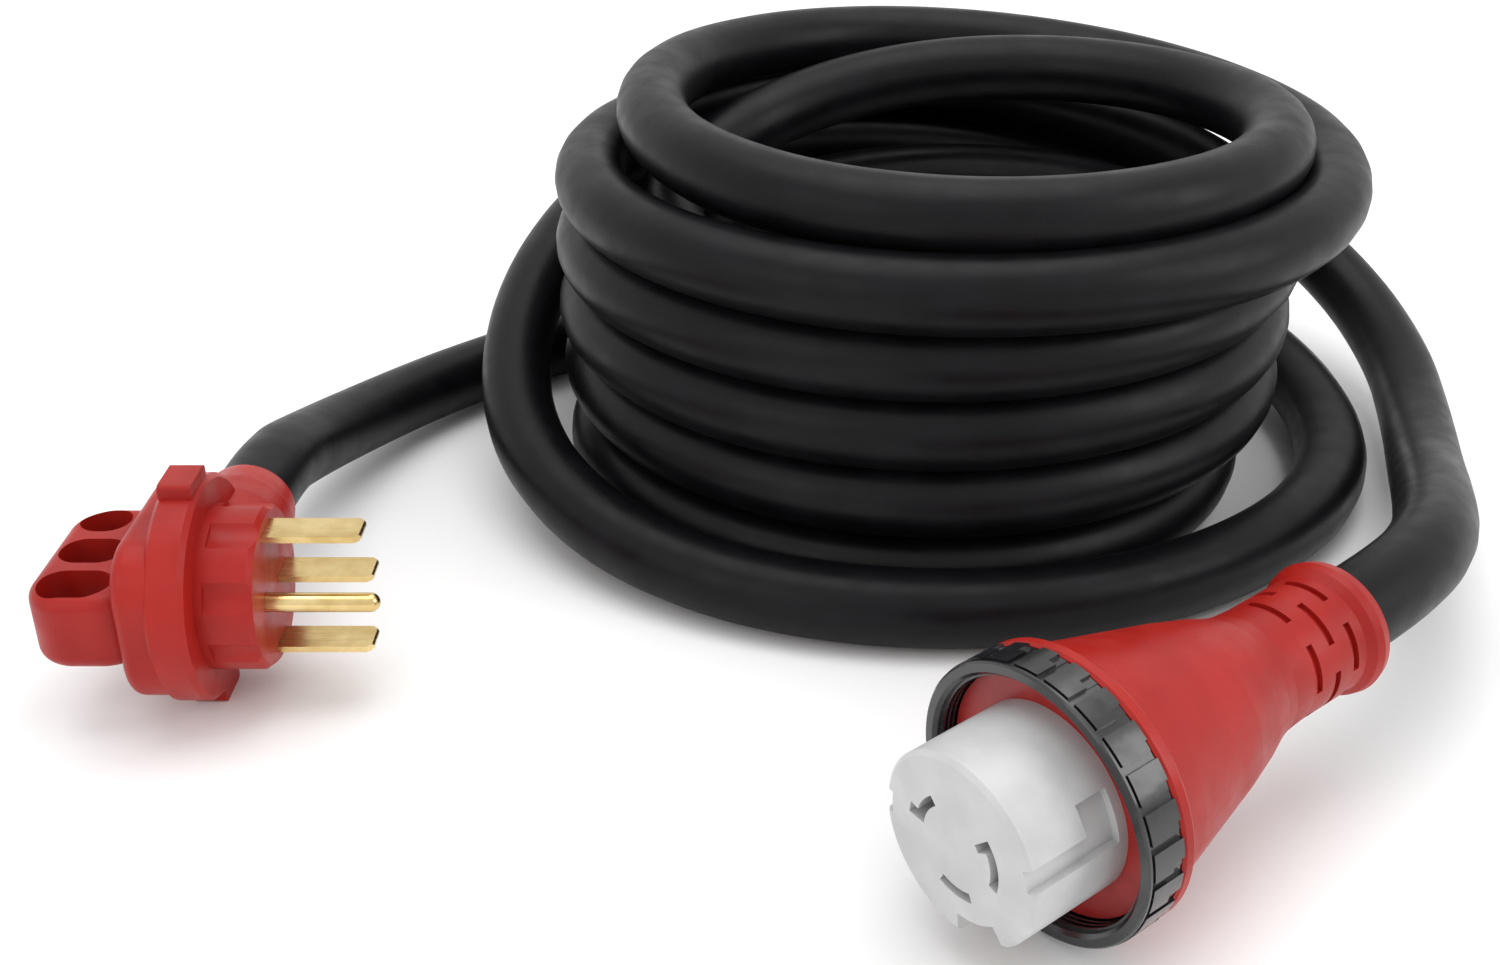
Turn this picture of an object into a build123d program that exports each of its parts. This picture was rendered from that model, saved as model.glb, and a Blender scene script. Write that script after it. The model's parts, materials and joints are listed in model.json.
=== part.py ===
from build123d import *
import math
import os

# 50 A shore power cord: a right-angle four-blade plug with a finger handle, a coiled
# round cable, and a locking female connector with a free-turning threaded lock ring.
# Row frame: millimetres, +Z up, floor at z = 0, origin under the middle of plug and connector.

# ---------------------------------------------------------------- driving dimensions
CABLE_D = 26.5
CABLE_R = CABLE_D / 2
WIRE_R = 2.5
RUNNING_GAP = 0.3

# connector, along its own axis: z = 0 is the lock ring's front rim, +z leaves the nose
NOSE_R = 26.25
NOSE_SEAT_R = 25.9
NOSE_LENGTH = 25.0
NOSE_BORE_R = 22.0
NOSE_WALL = 10.0
HUB_R = 29.7
RING_R = 39.5
RING_LENGTH = 12.0
RING_BORE_R = 35.4
RING_PANELS = 24
CONNECTOR_LENGTH = 121.0
CONNECTOR_CENTRE = (87.82, -62.16, 39.46)
CONNECTOR_HEADING = 37.0
CONNECTOR_DROOP = 3.5
CONTACT_R = 13.2
CONTACT_ANGLES = {"line_contact_x": (130, 176), "line_contact_y": (-16, 44), "neutral_contact": (-113, -67)}
GROUND_ANGLES = (-84, -54)

# plug, along its own axis: z = 0 is the front face, +z leaves the blades, +x is the cable side
PLUG_CENTRE = (-128.68, 45.44, 38.5)
PLUG_FACE_R = 25.5
PLUG_FRONT_LENGTH = 17.0
FLANGE_R = 35.0
FLANGE_LENGTH = 12.0
FLANGE_TAB_R = 38.5
REAR_LENGTH = 10.0
HANDLE_LENGTH = 26.3
HANDLE_WIDTH = 58.0
HANDLE_THICKNESS = 25.0
FINGER_PITCH = 19.0
FINGER_WIDTH = 14.5
FINGER_LENGTHS = (22.0, 20.0, 16.0)
FINGER_WALL = 3.5
BLADE_LENGTH = 29.5
BLADE_WIDTH = 12.0
BLADE_THICKNESS = 2.0
HOT_OFFSET = 19.5
NEUTRAL_OFFSET = 9.6
GROUND_PIN_R = 3.0
GROUND_SHANK_R = 2.8
GROUND_PIN_LENGTH = 34.4
NECK_Z = -21.0
NECK_END = 52.0
CABLE_END_X = 31.0

# cable route, row frame: from the connector's collar to the coil, and from the coil to the plug
CONNECTOR_RUN = [
    (184.32, 10.54, 46.9), (208.22, 28.54, 48.7), (231.52, 58.64, 46), (247.52, 98.64, 37), (263.52, 146.64, 25),
    (277.52, 194.64, 21), (285.52, 244.64, 27), (277.52, 292.64, 41), (252.52, 334.64, 58), (210.52, 365.64, 72),
    (155.52, 386.64, 84), (97.52, 393.64, 91), (40.52, 386.64, 92), (-9.48, 360.64, 85), (-48.48, 316.64, 73),
    (-67.48, 263.64, 62), (-75.48, 213.64, 45), (-67.48, 164.64, 29), (-39.48, 121.64, 18), (3.52, 89.64, 13.6),
    (55.52, 72.14, 13.3), (111.52, 72.14, 13.3), (163.52, 89.64, 13.3), (207.52, 121.64, 13.3), (237.52, 164.64, 13.4),
    (248.52, 213.64, 14), (243.52, 264.64, 17), (221.52, 312.64, 23), (181.52, 346.64, 30), (131.52, 362.64, 36),
    (83.52, 364.64, 40), (38.52, 353.64, 41),
]
PLUG_RUN = [
    (131.52, 341.64, 13.3), (83.52, 351.64, 13.3), (33.52, 349.64, 13.3), (-10.48, 331.64, 13.3), (-48.48, 305.64, 13.3),
    (-83.48, 277.64, 13.3), (-113.48, 244.64, 14.5), (-134.48, 205.64, 19), (-146.48, 163.64, 28), (-149.68, 126.64, 38.5),
    (-149.68, 97.44, 38.5),
]
LARGEST_ARC = 0.45

# coil: a lower stack of turns and a top turn that leans to the right
COIL_CENTRE = (83.52, 224.64)
COIL_OUTER_R = 139.5
COIL_INNER_R = 84.0
COIL_STACK_HEIGHT = 104.0
COIL_TOP_CENTRE = (97.52, 220.64)
COIL_TOP_OUTER_R = 144.0
COIL_TOP_INNER_R = 76.0
COIL_HEIGHT = 152.0


# ---------------------------------------------------------------- small shape helpers
def ring(outer, inner, z_low, z_high):
    """A round tube about the local z axis."""
    tube = Cylinder(outer, z_high - z_low, align=(Align.CENTER, Align.CENTER, Align.MIN))
    if inner > 0:
        tube -= Cylinder(inner, z_high - z_low, align=(Align.CENTER, Align.CENTER, Align.MIN))
    return Pos(0, 0, z_low) * tube


def disc(radius, z_low, z_high, x=0.0, y=0.0):
    """A solid cylinder about a line parallel to the local z axis."""
    return Pos(x, y, 0) * ring(radius, 0, z_low, z_high)


def block(x, y, z_low, z_high, width, height):
    """A box with its centre line at x, y, between two heights."""
    middle = (z_low + z_high) / 2
    return Pos(x, y, middle) * Box(width, height, z_high - z_low)


def sector(inner, outer, start, end, z_low, z_high):
    """A curved bar: the part of a tube between two angles in degrees."""
    steps = max(2, math.ceil((end - start) / 30))
    reach = outer * 1.6
    rim = []
    for i in range(steps + 1):
        angle = math.radians(start + (end - start) * i / steps)
        rim.append((reach * math.cos(angle), reach * math.sin(angle)))
    wedge = extrude(make_face(Polyline([(0, 0)] + rim, close=True)), z_high - z_low)
    return ring(outer, inner, z_low, z_high) & (Pos(0, 0, z_low) * wedge)


def lathe(profile):
    """A solid turned about the local z axis from (radius, z) corners."""
    points = [(radius, 0, z) for radius, z in profile]
    return revolve(make_face(Polyline(points, close=True)), Axis.Z)


def rod(start, end, radius):
    """A straight round rod between two points."""
    line = Vector(*end) - Vector(*start)
    face = Plane(origin=start, z_dir=line) * Circle(radius)
    return extrude(face, line.length)


def joined(shapes):
    """The union of overlapping shapes."""
    total = shapes[0]
    for shape in shapes[1:]:
        total += shape
    return total


def polar(radius, degrees):
    angle = math.radians(degrees)
    return radius * math.cos(angle), radius * math.sin(angle)


def screw(x, y, z_head, head_r, head_length, shank_r, shank_length):
    """A screw along +z, with its slotted head at the low end."""
    head = disc(head_r, z_head, z_head + head_length, x, y)
    head -= block(x, y, z_head, z_head + head_length * 0.4, head_r * 1.7, 0.8)
    return head + disc(shank_r, z_head + head_length, z_head + head_length + shank_length, x, y)


# ---------------------------------------------------------------- connector pieces
BOOT_FACE_Z = -RING_LENGTH - RUNNING_GAP
BOOT_PLATE_Z = BOOT_FACE_Z - 3.0
FLANGE_BACK_Z = BOOT_PLATE_Z - 3.2
CARRIER_BACK_Z = FLANGE_BACK_Z - 3.2
TERMINAL_BACK_Z = CARRIER_BACK_Z - 22.0
STUB_END_Z = -60.0
CLAMP_Z = -64.5
CLAMP_EAR = 16.1
SLIT_ROWS = 3
SLITS_AROUND = 5


def contact_middle(name):
    low, high = CONTACT_ANGLES[name]
    return (low + high) / 2


def make_boot():
    """Red moulded shell with a cone, a slit strain-relief neck and an end bead."""
    outside = [
        (30.0, BOOT_FACE_Z), (38.6, BOOT_FACE_Z), (39.3, -13.2), (39.3, -15.6), (38.2, -17.0),
        (36.0, -18.0), (34.2, -26.0), (31.6, -36.0), (28.8, -47.0), (26.0, -58.0), (22.6, -69.0),
        (19.6, -77.0), (18.4, -82.0), (17.8, -90.0), (17.8, -113.0), (19.6, -115.4), (20.2, -118.0),
        (19.4, -121.0),
    ]
    inside = [
        (CABLE_R + 0.15, -121.0), (CABLE_R + 0.15, -80.0), (20.0, -69.0), (23.2, -58.0),
        (26.0, -47.0), (28.8, -36.0), (31.4, -26.0), (33.2, BOOT_PLATE_Z), (30.0, BOOT_PLATE_Z),
    ]
    boot = lathe(outside + inside)
    for row in range(SLIT_ROWS):
        z = -91.0 - row * 8.0
        for i in range(SLITS_AROUND):
            start = i * 360 / SLITS_AROUND + row * 36
            boot -= sector(16.4, 22.0, start, start + 46, z - 2.4, z)
    return boot


def face_slot(name):
    """The curved opening in the nose for one contact."""
    low, high = CONTACT_ANGLES[name]
    slot = sector(CONTACT_R - 1.4, CONTACT_R + 1.4, low, high, 0, 40)
    if name == "line_contact_x":
        slot += sector(CONTACT_R, CONTACT_R + 4.0, high - 12, high, 0, 40)
    if name == "line_contact_y":
        slot += sector(CONTACT_R - 4.6, CONTACT_R, high - 14, high, 0, 40)
    return slot


def make_nose():
    """White barrel with its face slots, bayonet channel, ground notch and key step."""
    nose = lathe([
        (0, NOSE_LENGTH - NOSE_WALL), (NOSE_BORE_R, NOSE_LENGTH - NOSE_WALL), (NOSE_BORE_R, FLANGE_BACK_Z),
        (32.4, FLANGE_BACK_Z), (32.4, BOOT_PLATE_Z), (HUB_R, BOOT_PLATE_Z), (HUB_R, -10.45),
        (NOSE_SEAT_R, -10.45), (NOSE_SEAT_R, -7.0), (NOSE_R, -7.0), (NOSE_R, NOSE_LENGTH - 1.2), (NOSE_R - 1.2, NOSE_LENGTH), (0, NOSE_LENGTH),
    ])
    for name in CONTACT_ANGLES:
        nose -= face_slot(name)
    nose -= sector(20.3, 30.0, GROUND_ANGLES[0] - 4, GROUND_ANGLES[1] + 4, NOSE_LENGTH - NOSE_WALL - 1, 30)
    nose -= sector(24.0, 30.0, 8, 22, -4.0, 30)
    nose -= sector(24.0, 30.0, 8, 40, -4.0, 6.0)
    nose -= sector(23.6, 30.0, 172, 188, NOSE_LENGTH - 4.0, 30)
    for x, y in CARRIER_SCREWS:
        nose -= disc(1.6, FLANGE_BACK_Z - 1, -11.5, x, y)
    return nose


CARRIER_SCREWS = [polar(26.4, 60), polar(26.4, 240)]
CARRIER_SCREW_HEAD = 2.2


def make_carrier():
    """Dark insulator inside the nose, with a pocket for each contact."""
    carrier = ring(NOSE_BORE_R - 0.2, 0, CARRIER_BACK_Z, NOSE_LENGTH - NOSE_WALL - 0.3)
    carrier += ring(31.6, 0, CARRIER_BACK_Z, FLANGE_BACK_Z - 0.05)
    for low, high in CONTACT_ANGLES.values():
        carrier -= sector(CONTACT_R - 2.3, CONTACT_R + 2.3, low - 2, high + 2, CARRIER_BACK_Z - 1, 20)
    carrier -= sector(19.7, 22.5, GROUND_ANGLES[0] - 1, GROUND_ANGLES[1] + 1, CARRIER_BACK_Z - 1, 20)
    for x, y in CARRIER_SCREWS:
        carrier -= disc(1.7, CARRIER_BACK_Z - 1, FLANGE_BACK_Z + 1, x, y)
    return carrier


def make_contact(name):
    """Two curved spring leaves on a base, with a terminal tang behind."""
    low, high = CONTACT_ANGLES[name]
    middle = contact_middle(name)
    front = NOSE_LENGTH - NOSE_WALL - 0.5
    base = CARRIER_BACK_Z + 0.5
    leaves = [
        sector(CONTACT_R - 2.1, CONTACT_R - 1.5, low, high, base, front),
        sector(CONTACT_R + 1.5, CONTACT_R + 2.1, low, high, base, front),
        sector(CONTACT_R - 2.1, CONTACT_R + 2.1, low, high, base - 3, base + 0.5),
        sector(CONTACT_R - 2.1, CONTACT_R + 2.1, middle - 18, middle + 18, TERMINAL_BACK_Z, base - 2),
    ]
    return joined(leaves) - terminal_bore(middle, CONTACT_R)


def terminal_bore(angle, radius):
    z = TERMINAL_BACK_Z + 6
    start = (*polar(radius - 4, angle), z)
    end = (*polar(radius + 8, angle), z)
    return rod(start, end, 1.5)


def make_ground_contact():
    """A strip at the barrel's edge that the ground notch shows."""
    low, high = GROUND_ANGLES
    strip = sector(20.4, 21.5, low, high, CARRIER_BACK_Z - 1, NOSE_LENGTH - 2)
    tang = sector(19.8, 21.7, low + 4, high - 4, TERMINAL_BACK_Z, CARRIER_BACK_Z + 0.5)
    return joined([strip, tang]) - terminal_bore((low + high) / 2, 20.7)


def make_terminal_screws():
    """One radial clamp screw for each terminal."""
    screws = []
    z = TERMINAL_BACK_Z + 6
    places = [(contact_middle(name), CONTACT_R) for name in CONTACT_ANGLES]
    places.append((sum(GROUND_ANGLES) / 2, 20.7))
    for angle, radius in places:
        tip = (*polar(radius - 2.2, angle), z)
        seat = (*polar(radius + 2.3, angle), z)
        top = (*polar(radius + 4.3, angle), z)
        screws.append(rod(tip, seat, 1.4) + rod(seat, top, 2.8))
    return Compound(children=screws)


def make_carrier_screws():
    screws = []
    head = CARRIER_BACK_Z - CARRIER_SCREW_HEAD
    for x, y in CARRIER_SCREWS:
        screws.append(screw(x, y, head, 2.9, CARRIER_SCREW_HEAD, 1.4, 8.5))
    return Compound(children=screws)


WIRE_ENDS = {
    "black": ((*polar(8.3, 153), TERMINAL_BACK_Z + 14), 145),
    "red": ((*polar(8.3, 14), TERMINAL_BACK_Z + 14), 50),
    "white": ((*polar(8.3, -98), TERMINAL_BACK_Z + 14), 235),
    "green": ((*polar(16.6, -56), TERMINAL_BACK_Z + 14), 320),
}


def make_connector_wire(colour):
    """An insulated conductor from the cable's end to its terminal."""
    end, bundle_angle = WIRE_ENDS[colour]
    start = (*polar(4.7, bundle_angle), STUB_END_Z + 0.1)
    return rod(start, end, WIRE_R)


def make_clamp_half(side):
    """Half of the ring that grips the cable's jacket inside the boot."""
    half = ring(17.6, CABLE_R + 0.05, CLAMP_Z - 4, CLAMP_Z + 4)
    for x in (-CLAMP_EAR, CLAMP_EAR):
        half += block(x, 0, CLAMP_Z - 4, CLAMP_Z + 4, 5.0, 11.0)
    half -= disc(CABLE_R + 0.05, CLAMP_Z - 9, CLAMP_Z + 9)
    half &= Pos(0, side * 20.4, CLAMP_Z) * Box(60, 40, 20)
    for x in (-CLAMP_EAR, CLAMP_EAR):
        half -= rod((x, -12, CLAMP_Z), (x, 12, CLAMP_Z), 1.1)
        half -= rod((x, 5.5, CLAMP_Z), (x, 12, CLAMP_Z), 2.1)
    return half


def make_clamp_screws():
    screws = []
    for x in (-CLAMP_EAR, CLAMP_EAR):
        shank = rod((x, -5.0, CLAMP_Z), (x, 6.0, CLAMP_Z), 1.0)
        screws.append(shank + rod((x, 5.55, CLAMP_Z), (x, 6.8, CLAMP_Z), 1.9))
    return Compound(children=screws)


def make_lock_ring():
    """Black threaded ring: ribbed panels outside, thread ridges and a rear lip inside."""
    body = lathe([
        (30.0, -RING_LENGTH), (38.3, -RING_LENGTH), (38.3, -1.6), (39.2, -1.2), (39.2, -0.5), (38.7, 0),
        (36.4, 0), (RING_BORE_R, -1.0), (RING_BORE_R, -10.7), (30.0, -10.7),
    ])
    pitch = 360 / RING_PANELS
    panel = sector(37.0, RING_R, 1.6, pitch - 1.6, -RING_LENGTH, -1.8)
    panel -= sector(38.6, 41.0, 1.0, pitch * 0.36, -RING_LENGTH - 1, -8.2)
    for i in range(RING_PANELS):
        body += Rot(0, 0, i * pitch) * panel
    for i in range(3):
        z = -2.2 - i * 1.7
        body += ring(RING_BORE_R + 0.6, RING_BORE_R - 0.8, z - 0.7, z)
    return body


# ---------------------------------------------------------------- plug pieces
FLANGE_BACK = -PLUG_FRONT_LENGTH - FLANGE_LENGTH
REAR_BACK = FLANGE_BACK - REAR_LENGTH
CORE_BACK = -26.0
TERMINAL_LOW = -32.0
BLADE_TAIL = -27.0
HANDLE_MIDDLE = REAR_BACK - HANDLE_LENGTH / 2 + 2
HANDLE_BACK = HANDLE_MIDDLE - HANDLE_LENGTH / 2 - 4
PLUG_SCREWS = [(-18.5, 10.0), (-18.5, -10.0)]
PLUG_WIRES = {
    "black": ((CABLE_END_X - 0.1, 3.6, -18.0), (4.8, 19.5, -29.5)),
    "red": ((CABLE_END_X - 0.1, -3.6, -24.0), (4.8, -19.5, -29.5)),
    "white": ((CABLE_END_X - 0.1, 3.0, -24.6), (14.5, 0.0, -29.5)),
    "green": ((CABLE_END_X - 0.1, -3.0, -18.2), (-9.6, -8.2, -29.5)),
}


def along_x(profile):
    """A solid turned about the cable's line at the plug, from (radius, x) corners."""
    return Pos(0, 0, NECK_Z) * Rot(0, 90, 0) * lathe(profile)


def make_plug_front():
    """Scalloped front body that carries the blades."""
    front = ring(PLUG_FACE_R, 0, -PLUG_FRONT_LENGTH, 0)
    front = chamfer(front.edges().group_by(Axis.Z)[-1], 1.6)
    for i in range(8):
        x, y = polar(PLUG_FACE_R + 8.4, 22.5 + 45 * i)
        front -= disc(10.0, -PLUG_FRONT_LENGTH + 2.5, 5, x, y)
    for side in (-1, 1):
        front -= block(0, side * HOT_OFFSET, -30, 5, BLADE_WIDTH + 0.2, BLADE_THICKNESS + 0.2)
    front -= block(NEUTRAL_OFFSET, 0, -30, 5, BLADE_WIDTH + 0.2, BLADE_THICKNESS + 0.2)
    front -= disc(GROUND_PIN_R + 0.1, -30, 5, -NEUTRAL_OFFSET, 0)
    for x, y in PLUG_SCREWS:
        front -= disc(1.5, -PLUG_FRONT_LENGTH - 1, -8, x, y)
    return front


def make_plug_handle():
    """Red housing: flange with tabs, hollow rear body, finger handle and domed cable neck."""
    flange = ring(FLANGE_R, 0, FLANGE_BACK, -PLUG_FRONT_LENGTH)
    flange = chamfer(flange.edges().group_by(Axis.Z)[-1], 1.5)
    flange = chamfer(flange.edges().group_by(Axis.Z)[0], 1.5)
    for side in (-1, 1):
        tab = block(0, side * (FLANGE_TAB_R - 3), FLANGE_BACK + 1, -PLUG_FRONT_LENGTH - 1, 15, 6)
        flange += fillet(tab.edges().filter_by(Axis.Z), 1.5)
    rear = extrude(Plane.XY.offset(REAR_BACK) * RectangleRounded(64, 52, 16), REAR_LENGTH + 4)
    rear = fillet(rear.edges().group_by(Axis.Z)[0], 4)
    grip = Plane.XZ * Pos(0, HANDLE_MIDDLE) * RectangleRounded(HANDLE_WIDTH, HANDLE_LENGTH + 8, 13)
    grip = extrude(grip, HANDLE_THICKNESS / 2, both=True)
    grip = fillet(grip.edges().group_by(Axis.Y)[0], 5)
    grip = fillet(grip.edges().group_by(Axis.Y)[-1], 5)
    neck = along_x([
        (0, 8), (18.5, 8), (19.0, 20), (18.6, 30), (17.4, 40), (15.8, 48), (15.0, NECK_END),
        (0, NECK_END),
    ])
    housing = flange + rear + grip + neck
    for i, length in enumerate(FINGER_LENGTHS):
        middle = HANDLE_BACK + FINGER_WALL + length / 2
        slot = Rot(0, 0, 90) * SlotOverall(length, FINGER_WIDTH)
        hole = Plane.XZ * Pos((i - 1) * FINGER_PITCH, middle) * slot
        cutter = extrude(hole, HANDLE_THICKNESS, both=True)
        housing -= cutter
    housing -= ring(PLUG_FACE_R + 0.15, 0, -PLUG_FRONT_LENGTH, 5)
    housing -= ring(24.0, 0, -36.5, -PLUG_FRONT_LENGTH + 1)
    housing -= along_x([(0, 10), (16.0, 10), (16.0, 42.6), (CABLE_R + 0.15, 43), (CABLE_R + 0.15, 80), (0, 80)])
    return housing


def make_core():
    """Insulator behind the front body, cut away where the conductors cross."""
    core = ring(23.8, 0, CORE_BACK, -PLUG_FRONT_LENGTH - 0.1)
    core -= block(22, 0, -40, -10, 20, 60)
    for side in (-1, 1):
        core -= block(0, side * HOT_OFFSET, -40, -10, BLADE_WIDTH + 0.2, BLADE_THICKNESS + 0.2)
    core -= block(NEUTRAL_OFFSET, 0, -40, -10, BLADE_WIDTH + 0.2, BLADE_THICKNESS + 0.2)
    core -= disc(GROUND_SHANK_R + 0.1, -40, -10, -NEUTRAL_OFFSET, 0)
    for start, end in PLUG_WIRES.values():
        core -= rod(start, end, WIRE_R + 0.3)
    for x, y in PLUG_SCREWS:
        core -= disc(1.5, -40, -10, x, y)
    return core


def make_blade(x, y, block_width):
    """A flat blade with a chamfered tip and a terminal block on its tail."""
    blade = block(x, y, BLADE_TAIL, BLADE_LENGTH, BLADE_WIDTH, BLADE_THICKNESS)
    blade = chamfer(blade.edges().group_by(Axis.Z)[-1].filter_by(Axis.Y), 2.0)
    blade = chamfer(blade.edges().group_by(Axis.Z)[-1].filter_by(Axis.X), 0.6)
    terminal = block(x, y, TERMINAL_LOW, CORE_BACK - 0.1, block_width, 7)
    return blade + terminal - disc(1.4, TERMINAL_LOW - 1, TERMINAL_LOW + 4.8, x, y)


def make_ground_pin():
    """The longest contact: a round pin with a domed tip."""
    straight = disc(GROUND_PIN_R, 0, GROUND_PIN_LENGTH - GROUND_PIN_R, -NEUTRAL_OFFSET, 0)
    straight += disc(GROUND_SHANK_R, BLADE_TAIL, 0, -NEUTRAL_OFFSET, 0)
    dome = Pos(-NEUTRAL_OFFSET, 0, GROUND_PIN_LENGTH - GROUND_PIN_R) * Sphere(GROUND_PIN_R)
    terminal = block(-NEUTRAL_OFFSET, -1.0, TERMINAL_LOW, CORE_BACK - 0.1, 9, 9)
    bore = disc(1.4, TERMINAL_LOW - 1, TERMINAL_LOW + 4.8, -NEUTRAL_OFFSET, 0)
    return straight + dome + terminal - bore


def make_plug_terminal_screws():
    places = [(0, HOT_OFFSET), (0, -HOT_OFFSET), (NEUTRAL_OFFSET, 0), (-NEUTRAL_OFFSET, 0)]
    screws = []
    for x, y in places:
        screws.append(screw(x, y, TERMINAL_LOW - 2, 3.0, 2.0, 1.3, 4.0))
    return Compound(children=screws)


def make_core_screws():
    screws = []
    for x, y in PLUG_SCREWS:
        screws.append(screw(x, y, CORE_BACK - 2.2, 2.6, 2.2, 1.3, 16.0))
    return Compound(children=screws)


# ---------------------------------------------------------------- cable
def largest_radii(points):
    """The arc at each corner: a fixed share of its shorter run over the tangent of half its turn."""
    radii = []
    for i in range(1, len(points) - 1):
        before = Vector(*points[i]) - Vector(*points[i - 1])
        after = Vector(*points[i + 1]) - Vector(*points[i])
        half_turn = math.radians(before.get_angle(after)) / 2
        shorter = min(before.length, after.length)
        radii.append(LARGEST_ARC * shorter / math.tan(half_turn))
    return radii


def make_cable_run(name, points):
    """A round tube along straight runs joined by tangent arcs."""
    radii = largest_radii(points)
    path = FilletPolyline(*points, radius=radii)
    start = path.edges()[0]
    section = Plane(origin=points[0], z_dir=start.tangent_at(0)) * Circle(CABLE_R)
    tube = sweep(section, path=path)
    expected = math.pi * CABLE_R ** 2 * path.length
    print(name, "length", round(path.length), "smallest radius", round(min(radii)))
    print("  radii", [round(radius) for radius in radii])
    print("  volume over section times length", round(tube.volume / expected, 4))
    return tube


def make_coil():
    """One closed solid of the coil's outer shape."""
    x, y = COIL_CENTRE
    stack = Pos(x, y, 0) * ring(COIL_OUTER_R, COIL_INNER_R, 0, COIL_STACK_HEIGHT)
    top_x, top_y = COIL_TOP_CENTRE
    top = Pos(top_x, top_y, 0) * ring(COIL_TOP_OUTER_R, COIL_TOP_INNER_R, COIL_STACK_HEIGHT - 1, COIL_HEIGHT)
    return stack + top


# ---------------------------------------------------------------- placing and writing
def connector_place():
    """Local x is level, local y is up, local z leaves the nose."""
    heading = math.radians(CONNECTOR_HEADING)
    droop = math.radians(CONNECTOR_DROOP)
    out = Vector(-math.cos(heading) * math.cos(droop), -math.sin(heading) * math.cos(droop), -math.sin(droop))
    level = Vector(math.sin(heading), -math.cos(heading), 0)
    return Plane(origin=CONNECTOR_CENTRE, x_dir=level, z_dir=out).location


def plug_place():
    """Local x points to the cable side, local y is up, local z leaves the blades."""
    return Plane(origin=PLUG_CENTRE, x_dir=(0, 1, 0), z_dir=(1, 0, 0)).location


def connector_nodes():
    nodes = {
        "connector_boot": make_boot(),
        "connector_nose": make_nose(),
        "connector_gasket": ring(34.2, NOSE_SEAT_R + 0.05, -8.5, -7.0),
        "ring_retainer": ring(34.2, NOSE_SEAT_R + 0.05, -10.4, -8.5),
        "contact_carrier": make_carrier(),
        "ground_contact": make_ground_contact(),
        "connector_terminal_screws": make_terminal_screws(),
        "carrier_screws": make_carrier_screws(),
        "cord_clamp_upper": make_clamp_half(1),
        "cord_clamp_lower": make_clamp_half(-1),
        "cord_clamp_screws": make_clamp_screws(),
        "connector_cable_end": ring(CABLE_R, 0, -CONNECTOR_LENGTH, STUB_END_Z),
        "lock_ring": make_lock_ring(),
    }
    for name in CONTACT_ANGLES:
        nodes[name] = make_contact(name)
    for colour in WIRE_ENDS:
        nodes["connector_wire_" + colour] = make_connector_wire(colour)
    return nodes


def plug_nodes():
    nodes = {
        "plug_handle_housing": make_plug_handle(),
        "plug_front_body": make_plug_front(),
        "plug_core": make_core(),
        "blade_line_x": make_blade(0, HOT_OFFSET, 9),
        "blade_line_y": make_blade(0, -HOT_OFFSET, 9),
        "blade_neutral": make_blade(NEUTRAL_OFFSET, 0, 9),
        "ground_pin": make_ground_pin(),
        "plug_terminal_screws": make_plug_terminal_screws(),
        "plug_core_screws": make_core_screws(),
        "plug_grommet": along_x([(CABLE_R + 0.05, 34.5), (15.8, 34.5), (15.8, 41), (CABLE_R + 0.05, 41)]),
        "plug_thrust_washer": along_x([(CABLE_R + 0.05, 41), (15.8, 41), (15.8, 42.5), (CABLE_R + 0.05, 42.5)]),
        "plug_cable_end": along_x([(0, CABLE_END_X), (CABLE_R, CABLE_END_X), (CABLE_R, NECK_END), (0, NECK_END)]),
    }
    for colour, (start, end) in PLUG_WIRES.items():
        nodes["plug_wire_" + colour] = rod(start, end, WIRE_R)
    return nodes


def print_box(shapes):
    """The box of the plug and the connector, whose middle is the row's origin."""
    boxes = [shape.bounding_box() for shape in shapes]
    for axis in "XYZ":
        low = min(getattr(box.min, axis) for box in boxes)
        high = max(getattr(box.max, axis) for box in boxes)
        print(axis, "from", round(low, 2), "to", round(high, 2))


def all_nodes():
    placed = {}
    for name, shape in connector_nodes().items():
        placed[name] = connector_place() * shape
    for name, shape in plug_nodes().items():
        placed[name] = plug_place() * shape
    print_box(placed.values())
    placed["cord_coil"] = make_coil()
    placed["cord_connector_run"] = make_cable_run("cord_connector_run", CONNECTOR_RUN)
    placed["cord_plug_run"] = make_cable_run("cord_plug_run", PLUG_RUN)
    return placed


def main():
    os.makedirs("parts", exist_ok=True)
    for name, shape in all_nodes().items():
        export_step(shape, "parts/" + name + ".step")


main()
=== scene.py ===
import json
import math
import bpy
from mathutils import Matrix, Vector


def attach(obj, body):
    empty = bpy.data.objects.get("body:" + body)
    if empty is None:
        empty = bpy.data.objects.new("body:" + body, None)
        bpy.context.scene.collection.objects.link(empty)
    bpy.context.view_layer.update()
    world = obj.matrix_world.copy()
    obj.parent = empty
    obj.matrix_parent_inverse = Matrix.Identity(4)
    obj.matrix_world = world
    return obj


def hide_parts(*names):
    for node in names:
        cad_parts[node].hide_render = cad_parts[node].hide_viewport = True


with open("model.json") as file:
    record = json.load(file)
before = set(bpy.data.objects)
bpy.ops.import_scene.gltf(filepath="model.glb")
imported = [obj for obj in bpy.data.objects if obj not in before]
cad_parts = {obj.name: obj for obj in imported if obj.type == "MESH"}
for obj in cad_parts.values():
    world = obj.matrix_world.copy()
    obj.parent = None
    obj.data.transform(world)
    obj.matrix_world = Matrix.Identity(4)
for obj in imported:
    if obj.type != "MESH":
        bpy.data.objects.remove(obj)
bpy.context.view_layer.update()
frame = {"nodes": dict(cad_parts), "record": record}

ROOT = "cord_set"

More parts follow.
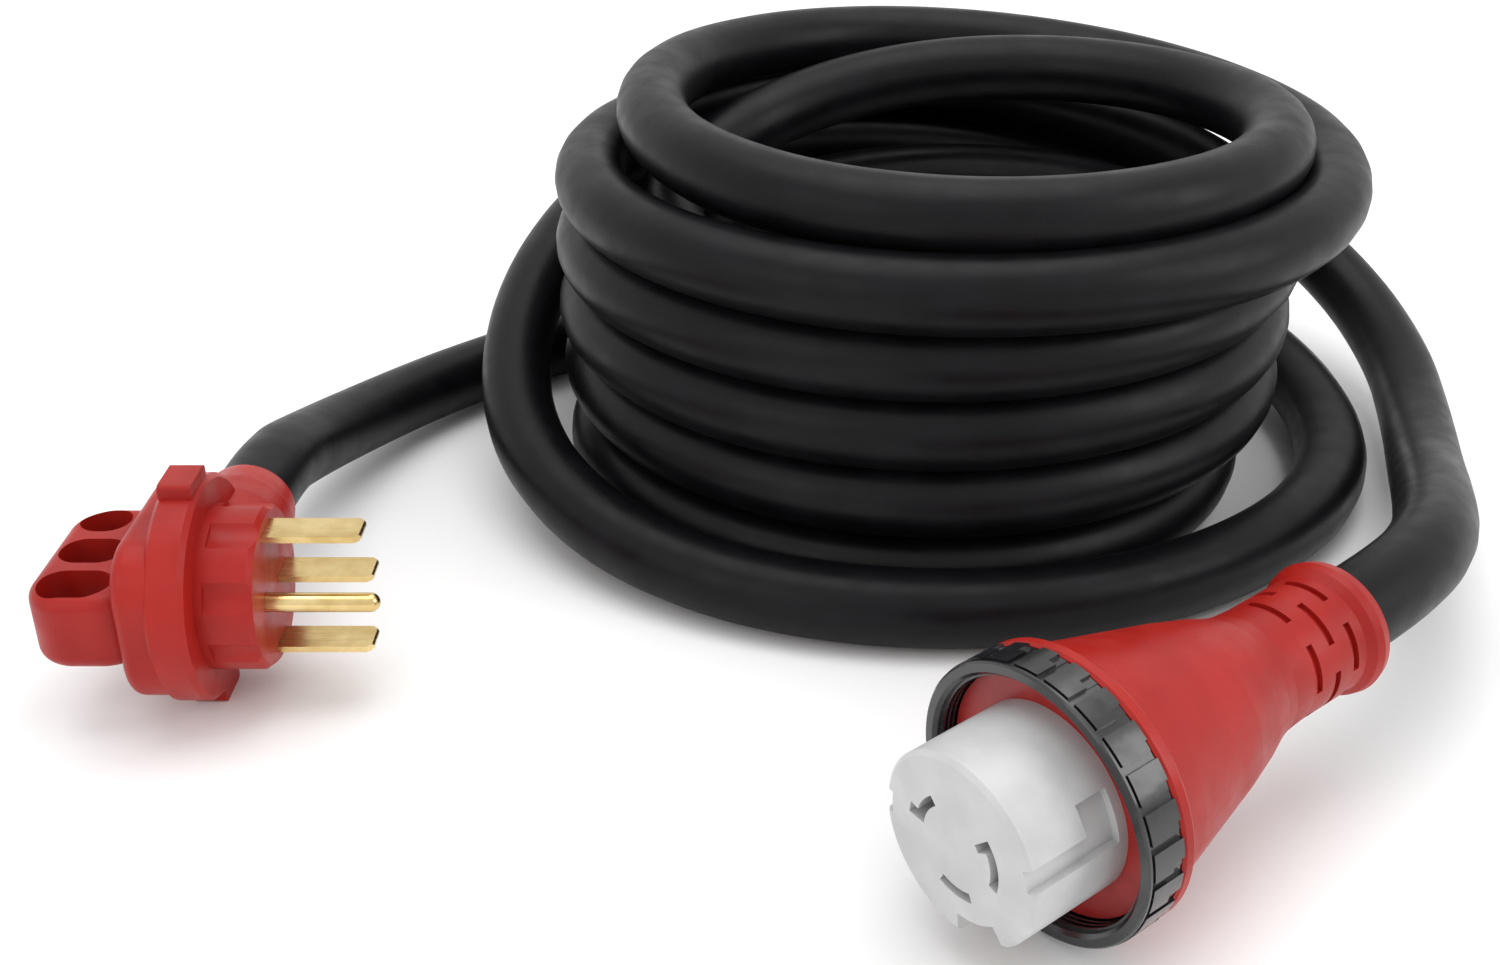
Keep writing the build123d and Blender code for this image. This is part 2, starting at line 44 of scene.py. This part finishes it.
# ---------------------------------------------------------------- cord route, metres
CABLE_D = 0.0265
CONNECTOR_RUN = [
    (0.18432, 0.01054, 0.0469), (0.20822, 0.02854, 0.0487), (0.23152, 0.05864, 0.046),
    (0.24752, 0.09864, 0.037), (0.26352, 0.14664, 0.025), (0.27752, 0.19464, 0.021),
    (0.28552, 0.24464, 0.027), (0.27752, 0.29264, 0.041), (0.25252, 0.33464, 0.058),
    (0.21052, 0.36564, 0.072), (0.15552, 0.38664, 0.084), (0.09752, 0.39364, 0.091),
    (0.04052, 0.38664, 0.092), (-0.00948, 0.36064, 0.085), (-0.04848, 0.31664, 0.073),
    (-0.06748, 0.26364, 0.062), (-0.07548, 0.21364, 0.045), (-0.06748, 0.16464, 0.029),
    (-0.03948, 0.12164, 0.018), (0.00352, 0.08964, 0.0136), (0.05552, 0.07214, 0.01335),
    (0.11152, 0.07214, 0.01335), (0.16352, 0.08964, 0.01335), (0.20752, 0.12164, 0.01335),
    (0.23752, 0.16464, 0.0134), (0.24852, 0.21364, 0.014), (0.24352, 0.26464, 0.017),
    (0.22152, 0.31264, 0.023), (0.18152, 0.34664, 0.03), (0.13152, 0.36264, 0.036),
]
PLUG_RUN = [
    (0.03352, 0.34964, 0.01335), (-0.01048, 0.33164, 0.01335), (-0.04848, 0.30564, 0.01335),
    (-0.08348, 0.27764, 0.01335), (-0.11348, 0.24464, 0.0145), (-0.13448, 0.20564, 0.019),
    (-0.14648, 0.16364, 0.028), (-0.14968, 0.12664, 0.0385), (-0.14968, 0.09744, 0.0385),
]
COIL_CENTRE = (0.08352, 0.22464)
POINTS_PER_QUARTER = 4
# radius and height at each quarter turn, counter-clockwise from above, first at the back:
# each row of four is back, left, front, right
COIL_QUARTERS = [
    (0.138, 0.0400), (0.126, 0.0410), (0.126, 0.0398), (0.126, 0.0460),
    (0.127, 0.0630), (0.127, 0.0650), (0.126, 0.0650), (0.127, 0.0710),
    (0.126, 0.0880), (0.127, 0.0900), (0.126, 0.0900), (0.129, 0.0960),
    (0.127, 0.1120), (0.126, 0.1150), (0.131, 0.1150), (0.150, 0.1200),
    (0.131, 0.1330), (0.102, 0.1380), (0.117, 0.1350), (0.126, 0.1340),
    (0.088, 0.1270), (0.097, 0.0990), (0.097, 0.0930), (0.098, 0.0880),
    (0.098, 0.0800), (0.098, 0.0650), (0.099, 0.0500), (0.099, 0.0380),
    (0.099, 0.0200), (0.124, 0.0138), (0.126, 0.0133), (0.114, 0.0133),
    (0.127, 0.0133),
]


def between(values, at):
    """A smooth value between the stations of a list, at a fractional place."""
    i = min(int(at), len(values) - 2)
    t = at - i
    a = values[max(i - 1, 0)]
    b = values[i]
    c = values[i + 1]
    d = values[min(i + 2, len(values) - 1)]
    return b + 0.5 * t * (c - a + t * (2 * a - 5 * b + 4 * c - d + t * (3 * (b - c) + d - a)))


def coil_points():
    """The coil's turns, on control points that stand a little outside the curve."""
    radii = [radius for radius, height in COIL_QUARTERS]
    heights = [height for radius, height in COIL_QUARTERS]
    outside = 1 / math.cos(math.pi / (4 * POINTS_PER_QUARTER))
    points = []
    for step in range((len(COIL_QUARTERS) - 1) * POINTS_PER_QUARTER + 1):
        quarter = step / POINTS_PER_QUARTER
        angle = math.pi / 2 * (1 + quarter)
        radius = between(radii, quarter) * outside
        height = max(between(heights, quarter), CABLE_D / 2 + 0.0001)
        points.append((
            COIL_CENTRE[0] + radius * math.cos(angle),
            COIL_CENTRE[1] + radius * math.sin(angle),
            height,
        ))
    return points


# ---------------------------------------------------------------- materials
def shader(name, colour, roughness, metallic=0.0, coat=0.0, specular=0.5):
    material = bpy.data.materials.new(name)
    material.use_nodes = True
    surface = material.node_tree.nodes["Principled BSDF"]
    surface.inputs["Base Color"].default_value = (*colour, 1)
    surface.inputs["Roughness"].default_value = roughness
    surface.inputs["Metallic"].default_value = metallic
    surface.inputs["Coat Weight"].default_value = coat
    surface.inputs["Coat Roughness"].default_value = 0.25
    surface.inputs["Specular IOR Level"].default_value = specular
    return material


def noise(material, scale, detail=4.0, stretch=(1, 1, 1)):
    """Noise over the object's own coordinates, in metres."""
    nodes = material.node_tree.nodes
    links = material.node_tree.links
    place = nodes.new("ShaderNodeTexCoord")
    mapping = nodes.new("ShaderNodeMapping")
    mapping.inputs["Scale"].default_value = stretch
    texture = nodes.new("ShaderNodeTexNoise")
    texture.inputs["Scale"].default_value = scale
    texture.inputs["Detail"].default_value = detail
    links.new(place.outputs["Object"], mapping.inputs["Vector"])
    links.new(mapping.outputs["Vector"], texture.inputs["Vector"])
    return texture.outputs["Fac"]


def ramp(material, value, low, high, low_at=0.35, high_at=0.65):
    """Two colours blended by a noise value."""
    blend = material.node_tree.nodes.new("ShaderNodeValToRGB")
    blend.color_ramp.elements[0].position = low_at
    blend.color_ramp.elements[0].color = (*low, 1)
    blend.color_ramp.elements[1].position = high_at
    blend.color_ramp.elements[1].color = (*high, 1)
    material.node_tree.links.new(value, blend.inputs["Fac"])
    return blend.outputs["Color"]


def colour_from(material, value, low, high, low_at=0.35, high_at=0.65):
    surface = material.node_tree.nodes["Principled BSDF"]
    colour = ramp(material, value, low, high, low_at, high_at)
    material.node_tree.links.new(colour, surface.inputs["Base Color"])
    return colour


def roughness_from(material, value, low, high):
    spread = material.node_tree.nodes.new("ShaderNodeMapRange")
    spread.inputs["From Min"].default_value = 0.3
    spread.inputs["From Max"].default_value = 0.7
    spread.inputs["To Min"].default_value = low
    spread.inputs["To Max"].default_value = high
    surface = material.node_tree.nodes["Principled BSDF"]
    material.node_tree.links.new(value, spread.inputs["Value"])
    material.node_tree.links.new(spread.outputs["Result"], surface.inputs["Roughness"])


def bump_from(material, value, depth, strength=1.0):
    """Bump with a depth in metres; a second call adds to the first."""
    nodes = material.node_tree.nodes
    surface = nodes["Principled BSDF"]
    bump = nodes.new("ShaderNodeBump")
    bump.inputs["Distance"].default_value = depth
    bump.inputs["Strength"].default_value = strength
    if surface.inputs["Normal"].links:
        before = surface.inputs["Normal"].links[0].from_socket
        material.node_tree.links.new(before, bump.inputs["Normal"])
    material.node_tree.links.new(value, bump.inputs["Height"])
    material.node_tree.links.new(bump.outputs["Normal"], surface.inputs["Normal"])


def moulded_red():
    """Satin brick-red vinyl with a fine grain and slight clouding."""
    material = shader("red_vinyl", (0.33, 0.012, 0.007), 0.42, specular=0.25)
    colour_from(material, noise(material, 35, 5), (0.29, 0.009, 0.006), (0.37, 0.014, 0.009))
    roughness_from(material, noise(material, 120, 6), 0.30, 0.48)
    bump_from(material, noise(material, 1400, 2), 0.00005, 0.6)
    return material


def nose_white():
    """Off-white nylon with faint moulding clouds and small scuffs."""
    material = shader("white_nylon", (0.50, 0.50, 0.50), 0.40, specular=0.35)
    colour_from(material, noise(material, 60, 6), (0.46, 0.46, 0.46), (0.54, 0.54, 0.545))
    roughness_from(material, noise(material, 160, 5), 0.28, 0.46)
    bump_from(material, noise(material, 900, 3), 0.00004, 0.5)
    return material


def ring_black():
    """Glossy black moulding with light handling marks."""
    material = shader("black_ring", (0.010, 0.010, 0.011), 0.16, coat=0.35)
    colour_from(material, noise(material, 80, 6), (0.006, 0.006, 0.007), (0.018, 0.018, 0.020))
    roughness_from(material, noise(material, 220, 8), 0.12, 0.30)
    bump_from(material, noise(material, 500, 4), 0.00003, 0.4)
    return material


def jacket_black():
    """Near-black cable jacket with a soft sheen, faint clouding and a fine grain."""
    material = shader("cable_jacket", (0.0035, 0.0036, 0.0045), 0.40, specular=0.18)
    clouds = noise(material, 55, 9)
    colour_from(material, clouds, (0.0022, 0.0022, 0.0030), (0.0052, 0.0052, 0.0068), 0.40, 0.80)
    roughness_from(material, noise(material, 90, 6), 0.34, 0.46)
    bump_from(material, noise(material, 26, 3), 0.0006, 0.5)
    bump_from(material, noise(material, 900, 3), 0.00006, 0.6)
    return material


def plated(name, low, high, roughness_low, roughness_high):
    """Rolled or turned metal with fine lengthwise drawing lines."""
    material = shader(name, high, roughness_low, metallic=1.0)
    colour_from(material, noise(material, 90, 5), low, high)
    roughness_from(material, noise(material, 160, 4, (0.15, 6, 6)), roughness_low, roughness_high)
    bump_from(material, noise(material, 260, 3, (0.08, 5, 5)), 0.00004, 0.5)
    return material


def plain_insulator(name, low, high, roughness=0.45):
    """Matte moulding or insulation with a faint grain."""
    material = shader(name, high, roughness)
    colour_from(material, noise(material, 120, 5), low, high)
    bump_from(material, noise(material, 800, 3), 0.00004, 0.5)
    return material


MATERIALS = {
    "red_vinyl": moulded_red(),
    "red_seal": plain_insulator("red_seal", (0.30, 0.010, 0.008), (0.38, 0.016, 0.012), 0.40),
    "white_nylon": nose_white(),
    "black_ring": ring_black(),
    "black_insulator": plain_insulator("black_insulator", (0.010, 0.010, 0.010), (0.022, 0.022, 0.022)),
    "contact_brass": plated("contact_brass", (0.55, 0.40, 0.17), (0.78, 0.60, 0.30), 0.22, 0.42),
    "blade_brass": plated("blade_brass", (0.60, 0.42, 0.16), (0.80, 0.62, 0.30), 0.16, 0.34),
    "steel_screw": plated("steel_screw", (0.42, 0.42, 0.43), (0.62, 0.62, 0.63), 0.25, 0.42),
    "cable_jacket": jacket_black(),
    "wire_black": plain_insulator("wire_black", (0.008, 0.008, 0.008), (0.016, 0.016, 0.016)),
    "wire_red": plain_insulator("wire_red", (0.40, 0.015, 0.015), (0.52, 0.025, 0.022)),
    "wire_white": plain_insulator("wire_white", (0.66, 0.66, 0.63), (0.78, 0.78, 0.75)),
    "wire_green": plain_insulator("wire_green", (0.015, 0.20, 0.045), (0.03, 0.28, 0.07)),
    "grommet_rubber": plain_insulator("grommet_rubber", (0.012, 0.012, 0.012), (0.02, 0.02, 0.02), 0.6),
    "washer_plastic": plain_insulator("washer_plastic", (0.014, 0.014, 0.014), (0.026, 0.026, 0.026), 0.4),
}


def dress_cad_nodes():
    """Every carried-over node gets its slot's material."""
    for part in frame["record"]["subparts"]:
        node = frame["nodes"][part["node"]]
        node.data.materials.clear()
        node.data.materials.append(MATERIALS[part["material_slot"]])


# ---------------------------------------------------------------- cord
def make_cord():
    points = CONNECTOR_RUN + coil_points() + PLUG_RUN
    curve = bpy.data.curves.new("power_cord", "CURVE")
    curve.dimensions = "3D"
    curve.resolution_u = 10
    curve.bevel_depth = CABLE_D / 2
    curve.bevel_resolution = 8
    curve.use_fill_caps = True
    spline = curve.splines.new("NURBS")
    spline.points.add(len(points) - 1)
    for knot, point in zip(spline.points, points):
        knot.co = (*point, 1)
    spline.order_u = 3
    spline.use_endpoint_u = True
    cord = bpy.data.objects.new("power_cord", curve)
    bpy.context.scene.collection.objects.link(cord)
    curve.materials.append(MATERIALS["cable_jacket"])
    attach(cord, ROOT)
    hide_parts("cord_coil", "cord_connector_run", "cord_plug_run")
    return cord


# ---------------------------------------------------------------- stage, light and camera
FLOOR_REACH = 6.0
FLOOR_DROP = 0.0002
WORLD_STRENGTH = 0.95
CAMERA_PLACE = (0.01752, -0.40136, 0.312)
CAMERA_TILT = math.radians(62)
CAMERA_LENS = 40.8


def make_floor():
    mesh = bpy.data.meshes.new("floor")
    mesh.from_pydata(
        [
            (-FLOOR_REACH, -FLOOR_REACH, 0), (FLOOR_REACH, -FLOOR_REACH, 0),
            (FLOOR_REACH, FLOOR_REACH, 0), (-FLOOR_REACH, FLOOR_REACH, 0),
        ],
        [],
        [(0, 1, 2, 3)],
    )
    floor = bpy.data.objects.new("floor", mesh)
    floor.location.z = -FLOOR_DROP
    bpy.context.scene.collection.objects.link(floor)
    material = shader("floor_white", (0.90, 0.90, 0.90), 0.75)
    colour_from(material, noise(material, 2, 2), (0.885, 0.885, 0.885), (0.905, 0.905, 0.905))
    mesh.materials.append(material)


def area_light(name, place, target, size, power):
    light = bpy.data.lights.new(name, "AREA")
    light.shape = "RECTANGLE"
    light.size = size[0]
    light.size_y = size[1]
    light.energy = power
    lamp = bpy.data.objects.new(name, light)
    lamp.location = place
    lamp.rotation_euler = (Vector(target) - Vector(place)).to_track_quat("-Z", "Y").to_euler()
    bpy.context.scene.collection.objects.link(lamp)


def make_light():
    world = bpy.data.worlds.new("studio")
    bpy.context.scene.world = world
    world.use_nodes = True
    bpy.context.scene.view_settings.view_transform = "Standard"
    background = world.node_tree.nodes["Background"]
    background.inputs["Color"].default_value = (1, 1, 1, 1)
    background.inputs["Strength"].default_value = WORLD_STRENGTH
    area_light("overhead", (0.0, 0.3, 1.5), (0.05, 0.15, 0), (1.6, 1.2), 12)
    area_light("left_front", (-1.1, -1.0, 0.9), (0.05, 0.1, 0.05), (0.8, 0.8), 2.5)
    area_light("right_side", (1.3, -0.3, 0.8), (0.05, 0.1, 0.05), (0.5, 0.9), 5)


def make_camera():
    camera = bpy.data.cameras.new("camera")
    camera.sensor_width = 36
    camera.lens = CAMERA_LENS
    camera.clip_start = 0.01
    holder = bpy.data.objects.new("camera", camera)
    holder.location = CAMERA_PLACE
    holder.rotation_euler = (CAMERA_TILT, 0, 0)
    bpy.context.scene.collection.objects.link(holder)
    bpy.context.scene.camera = holder


dress_cad_nodes()
make_cord()
make_floor()
make_light()
make_camera()
